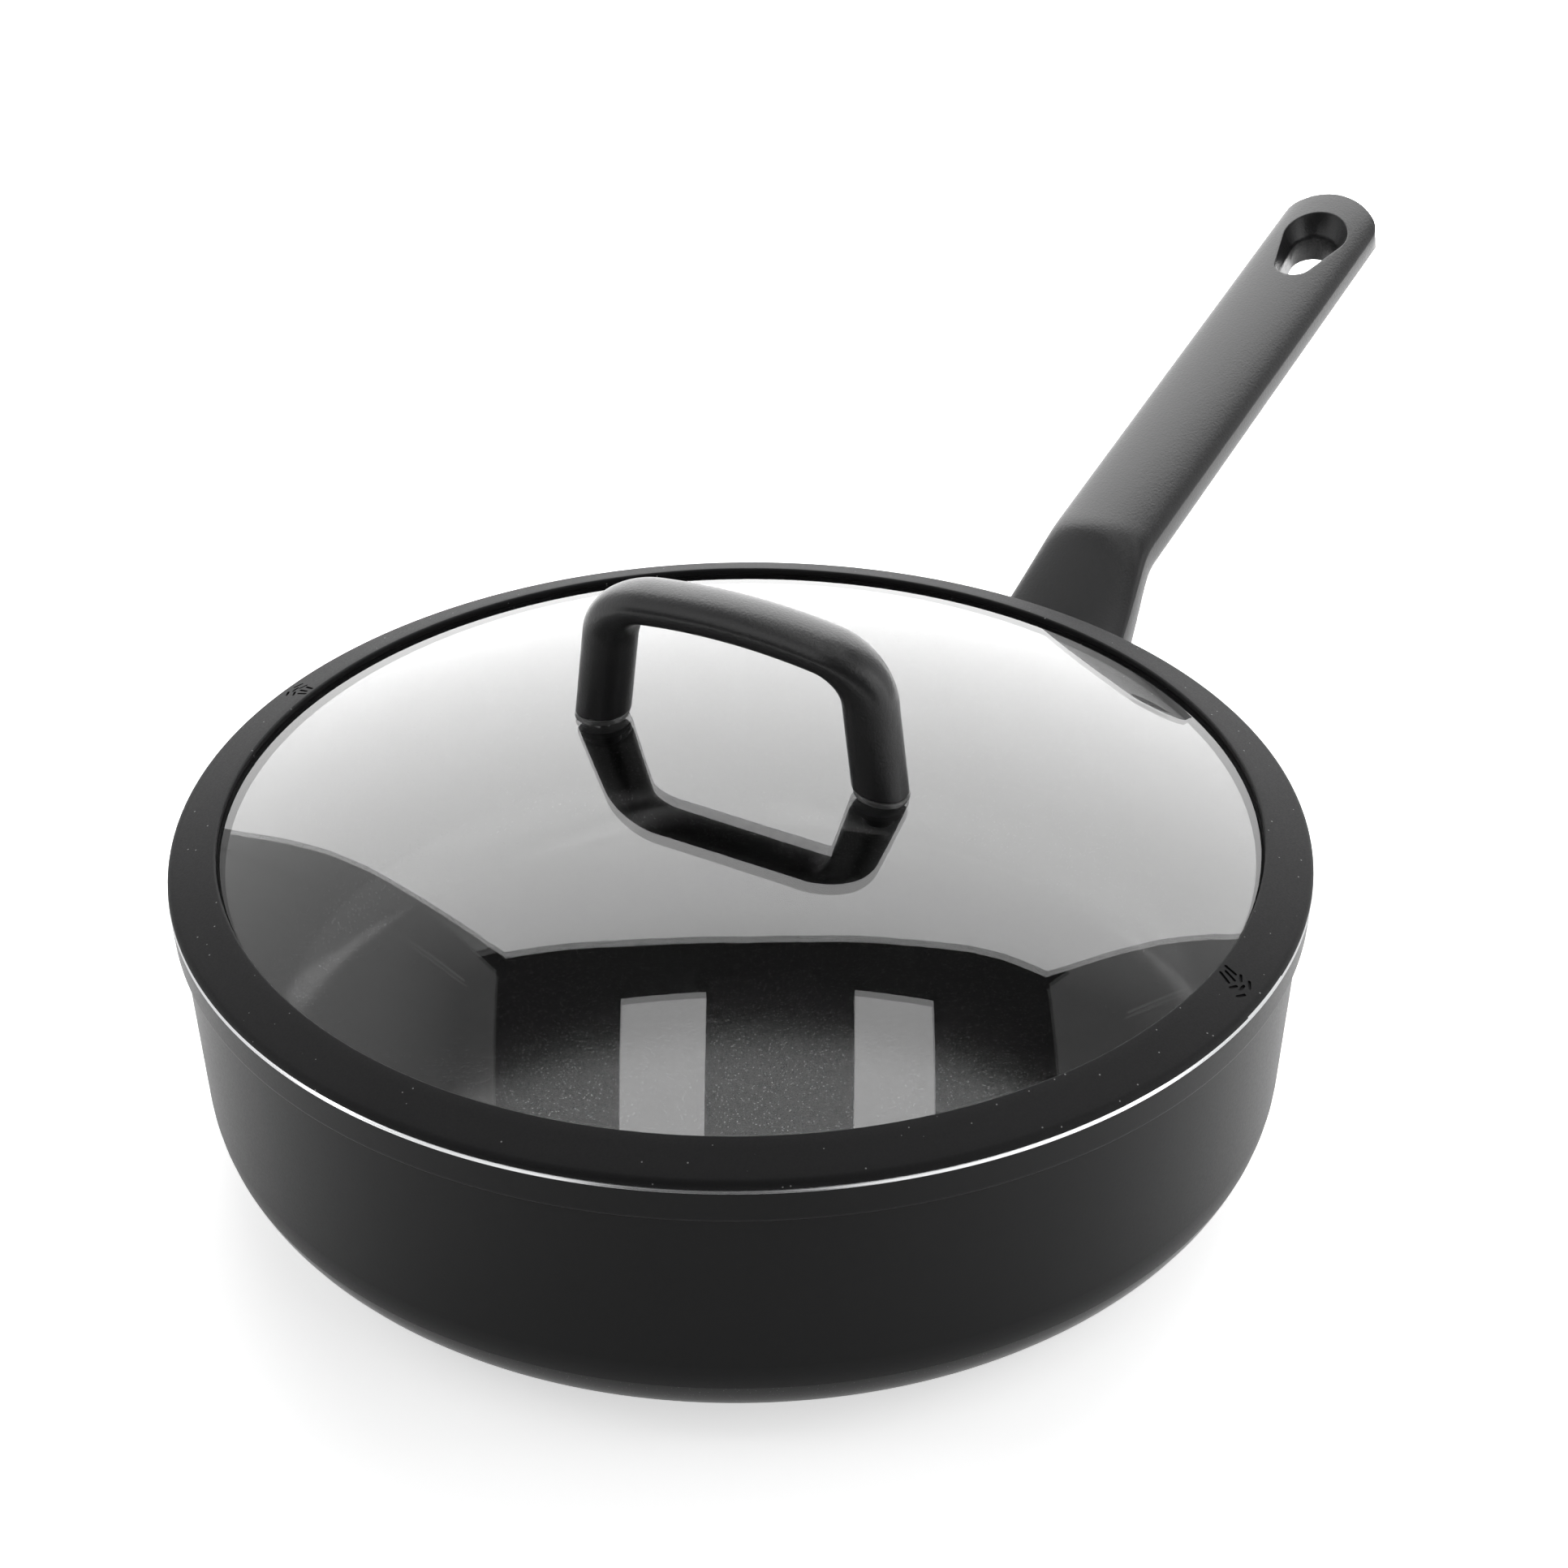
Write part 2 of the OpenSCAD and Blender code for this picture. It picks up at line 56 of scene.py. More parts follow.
# Long handle
BOSS_Z, BOSS_L, BOSS_W, BOSS_H = 38, 13, 20, 15
ROOT_L, BEND_Z, GRIP_L, GRIP_RISE, GRIP_W = 51.6, 77.6, 159.3, radians(16.6), 30.8
CROWN_H, SIDE_H, BELLY_H, TIP_BELLY_H, TIP_R = 4.5, 3.5, 8.6, 4.6, 23
ROOT_DROP, ROOT_W, ROOT_SIDE_H, ROOT_BELLY_H, ROOT_CROWN_H = 28.5, 43.5, 12, 12, 2
CORNER_POWER, ROUND_POWER = 12, 2.5
HOLE_BACK, HOLE_R, HOLE_SMALL_R, HOLE_L = 17, 9.7, 5.8, 14.5
HOLE_NECK, HOLE_SHIFT, NECK_Z = 2.8, 2, 1
SCREW_TILT, SCREW_D, SCREW_REACH, HEAD_D = radians(25), 5, 31, 8.5

# Lid
GLASS_INSET, GLASS_T, DOME_H, GLASS_LIFT, GLASS_HOLE_D = 8, 4, 23.4, 4.6, 7
LIP_COVER, UNDER_COVER, UNDER_T, CREST_H, CREST_ROUND, SHOULDER_R = 4.4, 5, 1.8, 6.2, 0.5, 2.2
SKIRT_H, SKIRT_T, SKIRT_TAPER = 7.5, 2.6, 1.6
NOTCH_W, NOTCH_H, SLOT_W, SLOT_COUNT = 20, 0.4, 1.5, 6
LID_TURN, FOOT_U, LOOP_H, LEG_LEAN, ARCH = radians(3), 39.8, 37, radians(7), radians(8)
LOOP_CORNER_R, LEG_W, LEG_D, BAR_T, BAR_D, GASKET_T = 14, 14, 12.8, 9.4, 16.5, 1.8


def mix(a, b, t):
    return a + (b - a) * t


def clamp(v):
    return min(1, max(0, v))


# The pan's wall is a cone above a round corner
def wall_r(z):
    return RIM_R - BAND_STEP - (PAN_H - z) * tan(DRAFT)


def inner_r(z):
    return wall_r(z) - WALL_T / cos(DRAFT)


IN_CORNER_R = CORNER_R - WALL_T
FOOT_Z = CORNER_R * (1 - sin(DRAFT))
IN_FOOT_Z = FLOOR_T + IN_CORNER_R * (1 - sin(DRAFT))
BASE_R = wall_r(FOOT_Z) - CORNER_R * cos(DRAFT)
IN_BASE_R = inner_r(IN_FOOT_Z) - IN_CORNER_R * cos(DRAFT)
PLATE_R = BASE_R - PLATE_MARGIN
MOUTH_R = RIM_R - RIM_T
BAND_Z = PAN_H - BAND_H

# The glass lies between two spheres with one centre
GLASS_R = RIM_R - GLASS_INSET
LIP_R = GLASS_R - LIP_COVER
SEAT_Z = PAN_H + SEAT_GAP
DOME_R = (LIP_R ** 2 + DOME_H ** 2) / (2 * DOME_H)
DOME_Z = PAN_H + GLASS_LIFT + DOME_H - DOME_R
FOOT_TILT = asin(FOOT_U / DOME_R)


def sphere_z(r, radius):
    return DOME_Z + sqrt(radius ** 2 - r ** 2)


def arc(centre, radius, start, end, steps):
    """Points on a circle from one angle to another, in degrees."""
    turns = [radians(mix(start, end, i / steps)) for i in range(steps + 1)]
    return [(centre[0] + radius * cos(a), centre[1] + radius * sin(a)) for a in turns]


def rounded(a, corner, b, reach, steps=4):
    """Points of a small round at the corner between two others."""
    a, corner, b = Vector(a), Vector(corner), Vector(b)
    start = corner + (a - corner).normalized() * reach
    end = corner + (b - corner).normalized() * reach
    shares = [i / steps for i in range(steps + 1)]
    return [tuple(start.lerp(corner, t).lerp(corner.lerp(end, t), t)) for t in shares]


def held(outline, near=0.3):
    """Adds a point close to each end of a long stretch, which keeps its shading straight."""
    points = [outline[0]]
    for a, b in zip(outline, outline[1:]):
        length = hypot(b[0] - a[0], b[1] - a[1])
        if length > 10 * near:
            shares = (near / length, 1 - near / length)
            points += [(mix(a[0], b[0], t), mix(a[1], b[1], t)) for t in shares]
        points.append(b)
    return points


# Meshes

def spun(outline):
    """A closed outline of (radius, height) turned round the pan's axis."""
    bm = bmesh.new()
    verts = [bm.verts.new((r, 0, z)) for r, z in outline]
    edges = [bm.edges.new((verts[i - 1], verts[i])) for i in range(len(verts))]
    axis_edges = [e for e in edges if all(v.co.x < SEAM for v in e.verts)]
    bmesh.ops.delete(bm, geom=axis_edges, context="EDGES")
    bmesh.ops.spin(bm, geom=bm.verts[:] + bm.edges[:], cent=(0, 0, 0), axis=(0, 0, 1),
                   angle=FULL_TURN, steps=STEPS_ROUND, use_merge=True)
    bmesh.ops.remove_doubles(bm, verts=bm.verts, dist=SEAM)
    bmesh.ops.recalc_face_normals(bm, faces=bm.faces)
    return bm


def wrapped(surface, around, along):
    """A grid wrapped round a form: surface(t, s) gives the point at the share t of the way
    round it and the share s of the way along it."""
    bm = bmesh.new()
    bmesh.ops.create_grid(bm, x_segments=around, y_segments=along, size=1)
    for v in bm.verts:
        v.co = surface((v.co.x + 1) / 2, (v.co.y + 1) / 2)
    bmesh.ops.remove_doubles(bm, verts=bm.verts, dist=SEAM)
    bmesh.ops.holes_fill(bm, edges=[e for e in bm.edges if e.is_boundary], sides=0)
    bmesh.ops.recalc_face_normals(bm, faces=bm.faces)
    return bm


def block(low, high):
    bm = bmesh.new()
    bmesh.ops.create_cube(bm, size=1)
    bmesh.ops.scale(bm, vec=Vector(high) - Vector(low), verts=bm.verts)
    bmesh.ops.translate(bm, vec=(Vector(high) + Vector(low)) / 2, verts=bm.verts)
    return bm


def rod(radius, low, high, place):
    """A round bar on the Z axis of place, from one height to another."""
    bm = bmesh.new()
    bmesh.ops.create_cone(bm, cap_ends=True, segments=ROD_SIDES, radius1=radius,
                          radius2=radius, depth=high - low)
    bmesh.ops.translate(bm, vec=(0, 0, (high + low) / 2), verts=bm.verts)
    bmesh.ops.transform(bm, matrix=place, verts=bm.verts)
    return bm


def as_object(bm, name):
    mesh = bpy.data.meshes.new(name)
    bm.to_mesh(mesh)
    bm.free()
    piece = bpy.data.objects.new(name, mesh)
    bpy.context.scene.collection.objects.link(piece)
    return piece


def settle(piece):
    """Turns the modifiers of a piece into its mesh."""
    bpy.context.view_layer.update()
    done = bpy.data.meshes.new_from_object(piece.evaluated_get(
        bpy.context.evaluated_depsgraph_get()))
    piece.modifiers.clear()
    piece.data = done


def cut(piece, cutters):
    """Takes other meshes out of a piece."""
    tools = [as_object(bm, "cutter") for bm in cutters]
    for tool in tools:
        modifier = piece.modifiers.new("cut", "BOOLEAN")
        modifier.operation = "DIFFERENCE"
        modifier.solver = "EXACT"
        modifier.object = tool
    settle(piece)
    for tool in tools:
        bpy.data.objects.remove(tool)
    bm = bmesh.new()
    bm.from_mesh(piece.data)
    bmesh.ops.remove_doubles(bm, verts=bm.verts, dist=SEAM)
    bm.to_mesh(piece.data)
    bm.free()


def finished(piece, body, finishes, replaced, sharp):
    """Gives a piece its finishes, turns it to metres, lets it ride on its body and puts it in
    place of its CAD nodes. Edges above the angle stay sharp, in degrees."""
    for finish in finishes:
        piece.data.materials.append(finish)
    piece.data.transform(Matrix.Scale(MM, 4))
    piece.data.shade_smooth()
    piece.data.set_sharp_from_angle(angle=radians(sharp))
    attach(piece, body)
    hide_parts(*replaced)


# Finishes

def colour(text):
    """An sRGB hex value as a linear colour."""
    parts = [int(text[i:i + 2], 16) / 255 for i in (1, 3, 5)]
    return [c / 12.92 if c <= 0.04045 else ((c + 0.055) / 1.055) ** 2.4 for c in parts] + [1]


def add(tree, kind, settings=None, links=None):
    """Adds a node, sets its properties and sockets, and links other nodes' sockets to it."""
    node = tree.nodes.new(kind)
    for key, value in (settings or {}).items():
        if isinstance(key, str) and hasattr(node, key):
            setattr(node, key, value)
        else:
            node.inputs[key].default_value = value
    for key, socket in (links or {}).items():
        tree.links.new(socket, node.inputs[key])
    return node


def bare_finish(name):
    finish = bpy.data.materials.new(name)
    finish.use_nodes = True
    finish.node_tree.nodes.clear()
    return finish, finish.node_tree


def new_finish(name, settings):
    """A material with a shader that has these settings, and the piece's own coordinates."""
    finish, tree = bare_finish(name)
    shader = add(tree, "ShaderNodeBsdfPrincipled", settings)
    add(tree, "ShaderNodeOutputMaterial", links={"Surface": shader.outputs[0]})
    place = add(tree, "ShaderNodeTexCoord").outputs["Object"]
    return finish, tree, shader, place


def per_mm(size):
    """Texture scale, per metre, at which one cell of a pattern is this many millimetres."""
    return 1 / (size * MM)


def grained(tree, shader, place, size, relief, rough_low, rough_high):
    """Fine grain: a bump, and a roughness that varies with it."""
    noise = add(tree, "ShaderNodeTexNoise", {"Scale": per_mm(size), "Detail": 3}, {"Vector": place})
    bump = add(tree, "ShaderNodeBump", {"Strength": 1, "Distance": relief * MM},
               {"Height": noise.outputs[0]})
    tree.links.new(bump.outputs[0], shader.inputs["Normal"])
    rough = add(tree, "ShaderNodeMapRange",
                {"From Min": 0.3, "From Max": 0.7, "To Min": rough_low, "To Max": rough_high},
                {"Value": noise.outputs[0]})
    tree.links.new(rough.outputs[0], shader.inputs["Roughness"])


def blotched(tree, shader, place, size, dark, light):
    """A colour that drifts between two tones, in patches of this size."""
    noise = add(tree, "ShaderNodeTexNoise", {"Scale": per_mm(size), "Detail": 4}, {"Vector": place})
    tint = add(tree, "ShaderNodeMix",
               {"data_type": "RGBA", 6: colour(dark), 7: colour(light)}, {0: noise.outputs[0]})
    tree.links.new(tint.outputs[2], shader.inputs["Base Color"])
    return tint


def seen_by(tree, *kinds):
    """1 for rays of these kinds, 0 for others."""
    ray = add(tree, "ShaderNodeLightPath")
    seen = ray.outputs[kinds[0]]
    for kind in kinds[1:]:
        seen = add(tree, "ShaderNodeMath", {"operation": "MAXIMUM"},
                   {0: seen, 1: ray.outputs[kind]}).outputs[0]
    return seen


def lacquer():
    """Outside of the pan: black heat-proof coating sprayed on, satin, with a faint orange
    peel. Its gloss is low head-on and strong at the sides."""
    finish, tree, shader, place = new_finish(
        "satin_black_coating", {"IOR": 1.36, "Specular IOR Level": 0.3})
    blotched(tree, shader, place, size=30, dark="#131314", light="#19191a")
    grained(tree, shader, place, size=0.7, relief=0.01, rough_low=0.3, rough_high=0.36)
    return finish


def nonstick():
    """Inside of the pan: black non-stick coating with mineral flakes, which show as fine
    bright specks. The flakes are drawn at 0.3 mm so that they show."""
    finish, tree, shader, place = new_finish("flaked_nonstick_coating", {"IOR": 1.36})
    cells = add(tree, "ShaderNodeTexVoronoi", {"Scale": per_mm(1)}, {"Vector": place})
    flake = add(tree, "ShaderNodeMapRange", {"From Min": 0.17, "From Max": 0.1},
                {"Value": cells.outputs["Distance"]})
    tint = add(tree, "ShaderNodeMix",
               {"data_type": "RGBA", 6: colour("#0e0e0e"), 7: colour("#747474")},
               {0: flake.outputs[0]})
    tree.links.new(tint.outputs[2], shader.inputs["Base Color"])
    tree.links.new(flake.outputs[0], shader.inputs["Metallic"])
    grained(tree, shader, place, size=3, relief=0.004, rough_low=0.14, rough_high=0.19)
    return finish


def turned_metal(name, tone, low, high, pitch):
    """Metal turned on a lathe: fine rings round the pan's axis."""
    finish, tree, shader, place = new_finish(name, {"Base Color": colour(tone), "Metallic": 1})
    rings = add(tree, "ShaderNodeTexWave",
                {"wave_type": "RINGS", "rings_direction": "Z", "Scale": per_mm(pitch) / FULL_TURN,
                 "Distortion": 0.4, "Detail": 2}, {"Vector": place})
    bump = add(tree, "ShaderNodeBump", {"Strength": 0.6, "Distance": 0.01 * MM},
               {"Height": rings.outputs["Fac"]})
    tree.links.new(bump.outputs[0], shader.inputs["Normal"])
    rough = add(tree, "ShaderNodeMapRange", {"To Min": low, "To Max": high},
                {"Value": rings.outputs["Fac"]})
    tree.links.new(rough.outputs[0], shader.inputs["Roughness"])
    return finish


def plain_metal(name, dark, light, low, high):
    """Metal as it comes from forming or turning: even, with a slight variation."""
    finish, tree, shader, place = new_finish(name, {"Metallic": 1})
    blotched(tree, shader, place, size=3, dark=dark, light=light)
    grained(tree, shader, place, size=0.5, relief=0.01, rough_low=low, rough_high=high)
    return finish


def handle_plastic():
    """Both handles: phenolic plastic moulded in a finely eroded tool, dark grey and matt with
    a soft sheen. The grain, 0.3 mm on the object, is drawn coarser so that it shows."""
    finish, tree, shader, place = new_finish("moulded_phenolic", {"IOR": 1.53})
    blotched(tree, shader, place, size=12, dark="#1b1b1c", light="#202021")
    grained(tree, shader, place, size=0.7, relief=0.07, rough_low=0.29, rough_high=0.37)
    return finish


def silicone():
    """Rim and seals: matt black silicone that holds a few specks of dust."""
    finish, tree, shader, place = new_finish(
        "matt_silicone", {"IOR": 1.41, "Specular IOR Level": 0.25})
    tint = blotched(tree, shader, place, size=20, dark="#121213", light="#171718")
    cells = add(tree, "ShaderNodeTexVoronoi", {"Scale": per_mm(3.5)}, {"Vector": place})
    speck = add(tree, "ShaderNodeMapRange",
                {"From Min": 0.07, "From Max": 0.045, "To Max": 0.7},
                {"Value": cells.outputs["Distance"]})
    dusty = add(tree, "ShaderNodeMix", {"data_type": "RGBA", 7: colour("#8a8a8a")},
                {0: speck.outputs[0], 6: tint.outputs[2]})
    tree.links.new(dusty.outputs[2], shader.inputs["Base Color"])
    grained(tree, shader, place, size=0.5, relief=0.02, rough_low=0.6, rough_high=0.7)
    return finish


def clear(name, tone, ior, roughness, clarity=1):
    """A clear material that lets the lamps' light through, so that what lies behind it is
    lit. A clarity below 1 makes it milky."""
    finish, tree, shader, place = new_finish(name, {
        "Base Color": colour(tone), "IOR": ior, "Transmission Weight": clarity})
    noise = add(tree, "ShaderNodeTexNoise", {"Scale": per_mm(40)}, {"Vector": place})
    rough = add(tree, "ShaderNodeMapRange", {"To Min": roughness, "To Max": roughness + 0.02},
                {"Value": noise.outputs[0]})
    tree.links.new(rough.outputs[0], shader.inputs["Roughness"])
    open_way = add(tree, "ShaderNodeBsdfTransparent", {"Color": colour(tone)})
    both = add(tree, "ShaderNodeMixShader", links={
        0: seen_by(tree, "Is Shadow Ray"), 1: shader.outputs[0], 2: open_way.outputs[0]})
    tree.links.new(both.outputs[0], tree.nodes["Material Output"].inputs["Surface"])
    return finish


COATING = lacquer()
INSIDE = nonstick()
BARE_RIM = turned_metal("turned_aluminium", "#e2e3e4", low=0.18, high=0.28, pitch=0.2)
PLATE = turned_metal("turned_steel", "#a9abad", low=0.3, high=0.42, pitch=0.4)
ALUMINIUM = plain_metal("cast_aluminium", "#b4b6b8", "#c4c6c8", low=0.35, high=0.5)
STEEL = plain_metal("bright_steel", "#b0b2b4", "#c0c2c4", low=0.22, high=0.32)
DARK_STEEL = plain_metal("blackened_steel", "#1c1c1d", "#242425", low=0.4, high=0.5)
BRASS = plain_metal("brass", "#a8904c", "#bba25c", low=0.28, high=0.4)
PLASTIC = handle_plastic()
SILICONE = silicone()
GLASS = clear("toughened_glass", "#f6f6f6", ior=1.5, roughness=0)
GASKET = clear("clear_silicone", "#6e6e6e", ior=1.41, roughness=0.25, clarity=0.6)


# Pan

def pan_shell():
    """The pan in one spin: base with a recess for the plate, wall, band, bare bevel, pouring
    round and coated inside."""
    outline = [(0, PLATE_T), (PLATE_R + FIT, PLATE_T), (PLATE_R + FIT, 0)]
    outline += arc((BASE_R, CORNER_R), CORNER_R, -90, -degrees(DRAFT), 16)
    outline += [(wall_r(z), z) for z in (45, 60)]
    band_foot = (wall_r(BAND_Z), BAND_Z)
    band_edge = (RIM_R - BAND_H * tan(DRAFT), BAND_Z + BAND_STEP / 2)
    bevel_foot = (RIM_R, PAN_H - RIM_BEVEL)
    outline += rounded(outline[-1], band_foot, band_edge, BAND_FOOT_ROUND)
    outline += rounded(band_foot, band_edge, bevel_foot, BAND_EDGE_ROUND)
    outline += [bevel_foot, (RIM_R - RIM_BEVEL, PAN_H)]
    outline += arc((MOUTH_R + POUR_R, PAN_H - POUR_R), POUR_R, 90, 180, 6)
    outline += [(inner_r(PAN_H - FLARE_H), PAN_H - FLARE_H)]
    outline += arc((IN_BASE_R, FLOOR_T + IN_CORNER_R), IN_CORNER_R, -degrees(DRAFT), -90, 16)
    outline += [(IN_BASE_R * share, FLOOR_T) for share in (0.6, 0.3, 0)]
    bm = spun(held(outline))
    for face in bm.faces:
        middle = face.calc_center_median()
        r, z = hypot(middle.x, middle.y), middle.z
        on_bevel = r > RIM_R - RIM_BEVEL and z > PAN_H - RIM_BEVEL
        inside = FLOOR_T - SEAM < z and r < MOUTH_R + POUR_R and r < inner_r(z) + INSIDE_MARGIN
        face.material_index = 1 if on_bevel else 2 if inside else 0
    return as_object(bm, "pan_shell")


finished(pan_shell(), "pan", [COATING, BARE_RIM, INSIDE], ["pan_body"], sharp=30)


# Long handle

ROOT_X = wall_r(BOSS_Z)
BEND_X = ROOT_X + ROOT_L
TIP_X = BEND_X + GRIP_L * cos(GRIP_RISE)
TIP_LEN = TIP_R - sqrt(TIP_R ** 2 - (GRIP_W / 2) ** 2)


def ease(x):
    return sin(pi / 2 * clamp((BEND_X - x) / ROOT_L))


def tip_part(x):
    return clamp(1 - (TIP_X - x) / (2 * TIP_LEN))


def edge_z(x):
    return BEND_Z + max(0, x - BEND_X) * tan(GRIP_RISE) - ROOT_DROP * ease(x)


def full_w(x):
    return mix(GRIP_W, ROOT_W, ease(x)) / 2


def half_w(x):
    back = TIP_X - x
    if back > TIP_R:
        return full_w(x)
    across = sqrt(back * (2 * TIP_R - back))
    return full_w(x) / (1 + (full_w(x) / across) ** CORNER_POWER) ** (1 / CORNER_POWER)


def soft(v, power=ROUND_POWER):
    return (1 if v > 0 else -1) * abs(v) ** (2 / power)


def bulge(v, power):
    return max(0, 1 - abs(v) ** power) ** (1 / power)


HANDLE_START = ROOT_X - BOSS_L / 2
TIP_START = TIP_X - 2 * TIP_LEN
# Shares of the long handle's rings that lie on its root, and on root and grip together
ROOT_SHARE, TIP_SHARE = 0.35, 0.85
TIP_TURN = radians(89.5)
BEND_SOFT, BEND_POINTS = 5, 4


def handle_x(s):
    """Distance from the pan's axis at the share s of the way along. It closes up to the tip."""
    if s < ROOT_SHARE:
        return mix(HANDLE_START, BEND_X, s / ROOT_SHARE)
    if s < TIP_SHARE:
        return mix(BEND_X, TIP_START, (s - ROOT_SHARE) / (TIP_SHARE - ROOT_SHARE))
    return mix(TIP_START, TIP_X, sin(TIP_TURN * (s - TIP_SHARE) / (1 - TIP_SHARE)))


def handle_point(t, x):
    turn = FULL_TURN * t
    above = sin(turn) > 0
    y = -half_w(x) * (cos(turn) if above else soft(cos(turn)))
    if above:
        up = mix(CROWN_H, ROOT_CROWN_H, ease(x)) * bulge(y / full_w(x), 2)
    else:
        belly = (mix(BELLY_H, ROOT_BELLY_H, ease(x)) if x < BEND_X
                 else mix(BELLY_H, TIP_BELLY_H, (x - BEND_X) / (TIP_X - BEND_X)))
        up = -mix(SIDE_H, ROOT_SIDE_H, ease(x)) - belly * bulge(y / full_w(x), ROUND_POWER)
    lean = GRIP_RISE * (1 - clamp((BEND_X - x) / ROOT_L)) * (1 - tip_part(x) ** 2)
    return Vector((x - up * sin(lean), y, edge_z(x) + up * cos(lean)))


def handle_surface(t, s):
    """The moulded form. Round the bend it is a mean of near points, which softens the edge."""
    x = handle_x(s)
    reach = BEND_SOFT * clamp(2 - abs(x - BEND_X) / (2 * BEND_SOFT))
    near = [handle_point(t, x + reach * k / BEND_POINTS) * (BEND_POINTS + 1 - abs(k))
            for k in range(-BEND_POINTS, BEND_POINTS + 1)]
    return sum(near, Vector((0, 0, 0))) / (BEND_POINTS + 1) ** 2


LARGE_SHARE = 0.3


def teardrop(r, small, length, t):
    """Point at the share t round two circles that are joined by their tangents. Each half of
    the large circle takes one share of the way, and the small circle the rest."""
    open_a = pi - acos((r - small) / length)
    if LARGE_SHARE < t < 1 - LARGE_SHARE:
        a = mix(open_a, FULL_TURN - open_a, (t - LARGE_SHARE) / (1 - 2 * LARGE_SHARE))
        return small * cos(a) - length, small * sin(a)
    a = open_a * (t if t < 0.5 else t - 1) / LARGE_SHARE
    return r * cos(a), r * sin(a)


HOLE_X = TIP_X - HOLE_BACK
ON_GRIP = Matrix.Translation((HOLE_X, 0, edge_z(HOLE_X))) @ Matrix.Rotation(-GRIP_RISE, 4, "Y")
HOLE_LOW = SIDE_H + BELLY_H + 1
HOLE_FILLET, FILLET_END, FILLET_STEPS, FILLET_RUN_OUT, OVER_CROWN = 0.45, radians(75), 5, 1.2, 4


def hole_rows():
    """Rows of the hanging hole's cutter, from above the grip to below it: growth of the
    outline, height over the crown, and share of the way down to the neck, then to twice that
    for the underside. A small fillet leads from the crown into the hole."""
    fillet = []
    for k in range(FILLET_STEPS + 1):
        a = FILLET_END * (1 - k / FILLET_STEPS)
        fillet.append((HOLE_FILLET * (1 - cos(a)), HOLE_FILLET * (sin(a) - 1), 0))
    grow, over = fillet[0][:2]
    widest = grow + FILLET_RUN_OUT * sin(FILLET_END)
    rows = [(widest, OVER_CROWN, 0), (widest, over + FILLET_RUN_OUT * cos(FILLET_END), 0)] + fillet
    return rows + [(0, 0, part) for part in (0.9, 1, 1.08, 2)]


HOLE_ROWS = hole_rows()


def hole_surface(t, s):
    """Narrows to a neck under the edge line, then runs straight down."""
    grow, over, part = HOLE_ROWS[round(s * (len(HOLE_ROWS) - 1))]
    top = teardrop(HOLE_R + grow, HOLE_SMALL_R + grow, HOLE_L, t)
    crown = CROWN_H * bulge(top[1] / (GRIP_W / 2), 2)
    neck = teardrop(HOLE_R - HOLE_NECK, HOLE_SMALL_R - HOLE_NECK / 4, HOLE_L - HOLE_SHIFT, t)
    if part <= 1:
        x, y = (mix(a, b, part) for a, b in zip(top, (neck[0] - HOLE_SHIFT, neck[1])))
        return ON_GRIP @ Vector((x, y, mix(crown + over, -NECK_Z, part)))
    down = (HOLE_LOW - NECK_Z) * (part - 1)
    return ON_GRIP @ Vector((neck[0] - HOLE_SHIFT - down * tan(GRIP_RISE), neck[1],
                             -NECK_Z - down))


ON_SCREW = (Matrix.Translation((ROOT_X + BOSS_L / 2, 0, BOSS_Z))
            @ Matrix.Rotation(pi / 2 - SCREW_TILT, 4, "Y"))


def long_handle():
    """The moulded form, less the hanging hole, the pan's wall, the boss and the screw."""
    grip = as_object(wrapped(handle_surface, *HANDLE_GRID), "long_handle")
    wall = spun([(0, -1), (wall_r(-1) + BODY_GAP, -1), (wall_r(PAN_H) + BODY_GAP, PAN_H),
                 (0, PAN_H)])
    boss = block((HANDLE_START, -BOSS_W / 2 - BODY_GAP, BOSS_Z - BOSS_H / 2 - BODY_GAP),
                 (ROOT_X + BOSS_L + BODY_GAP, BOSS_W / 2 + BODY_GAP,
                  BOSS_Z + BOSS_H / 2 + BODY_GAP))
    cut(grip, [wrapped(hole_surface, HOLE_AROUND, len(HOLE_ROWS) - 1), wall, boss,
               rod(SCREW_D / 2 + BODY_GAP, 0, SCREW_REACH + 1, ON_SCREW),
               rod(HEAD_D / 2 + 2 * BODY_GAP, SCREW_REACH, 2 * SCREW_REACH, ON_SCREW)])
    return grip


finished(long_handle(), "pan", [PLASTIC], ["handle"], sharp=40)


# Lid

def at_foot(side):
    """Frame on the axis of a foot, square to the glass, with its origin on the glass."""
    return (Matrix.Rotation(LID_TURN, 4, "Z") @ Matrix.Translation((0, 0, DOME_Z))
            @ Matrix.Rotation(-side * FOOT_TILT, 4, "X") @ Matrix.Translation((0, 0, DOME_R)))


def dome():
    """Two arcs that meet the pan's axis at right angles, spun, with a hole for each foot."""
    under_r = DOME_R - GLASS_T
    top = arc((0, DOME_Z), DOME_R, degrees(acos(GLASS_R / DOME_R)), 90, 40)
    under = arc((0, DOME_Z), under_r, 90, degrees(acos(GLASS_R / under_r)), 40)
    outline = top[:-1] + [(0, DOME_Z + DOME_R), (0, DOME_Z + under_r)] + under[1:]
    glass = as_object(spun(outline), "glass_dome")
    cut(glass, [rod(GLASS_HOLE_D / 2, -GLASS_T - 1, 1, at_foot(side)) for side in (-1, 1)])
    return glass


finished(dome(), "lid", [GLASS], ["lid_glass"], sharp=30)


SKIRT_R = MOUTH_R - 2 * BODY_GAP
DASH_W, DASH_DEPTH = 0.8, 0.5


